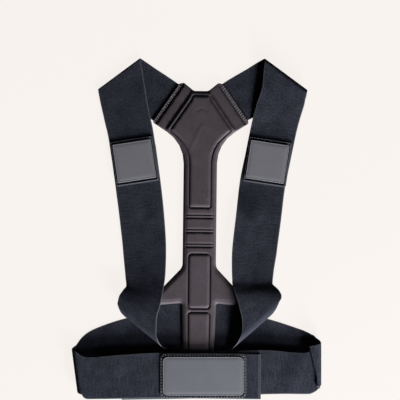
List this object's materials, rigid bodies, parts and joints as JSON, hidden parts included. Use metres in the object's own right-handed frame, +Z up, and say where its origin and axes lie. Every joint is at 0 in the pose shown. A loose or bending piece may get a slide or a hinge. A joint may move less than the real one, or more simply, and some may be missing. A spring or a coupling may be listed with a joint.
{
  "type": "posture corrector",
  "caption": "Posture corrector laid flat: a padded back plate with folded shoulder straps and a waist belt of wide elastic, closed at the front by a bordered panel.",
  "frame": {"origin": "on the surface that the part lies on, under the middle of its outline", "axes": "+Y towards the shoulder straps' folds, +Z up from the surface, away from the back plate's rear, +X to the right of the laid-out part seen from above"},
  "size_m": [0.3326, 0.4544, 0.0185],
  "materials": {
    "back_plate": "matte taupe laminate over foam, pressed into raised panels",
    "left_upper_strap": "fine ribbed navy-black woven elastic with thin light edges",
    "right_upper_strap": "fine ribbed navy-black woven elastic with thin light edges",
    "left_label_tab": "black stitched binding",
    "right_label_tab": "black stitched binding",
    "left_label": "bare matte grey patch",
    "right_label": "bare matte grey patch",
    "left_lower_strap": "fine ribbed navy-black woven elastic with thin light edges",
    "right_lower_strap": "fine ribbed navy-black woven elastic with thin light edges",
    "left_belt": "fine ribbed navy-black woven elastic with thin light edges",
    "right_belt": "fine ribbed navy-black woven elastic with thin light edges",
    "closure_tab": "black sewn panel with a dotted stitched border",
    "belt_patch": "bare matte grey patch"
  },
  "bodies": {
    "root": {"back_plate": "back_plate", "left_upper_strap": "left_upper_strap", "right_upper_strap": "right_upper_strap", "left_label_tab": "left_label_tab", "right_label_tab": "right_label_tab", "left_label": "left_label", "right_label": "right_label", "left_lower_strap": "left_lower_strap", "right_lower_strap": "right_lower_strap", "left_belt": "left_belt", "right_belt": "right_belt", "closure_tab": "closure_tab", "belt_patch": "belt_patch"}
  },
  "joints": []
}
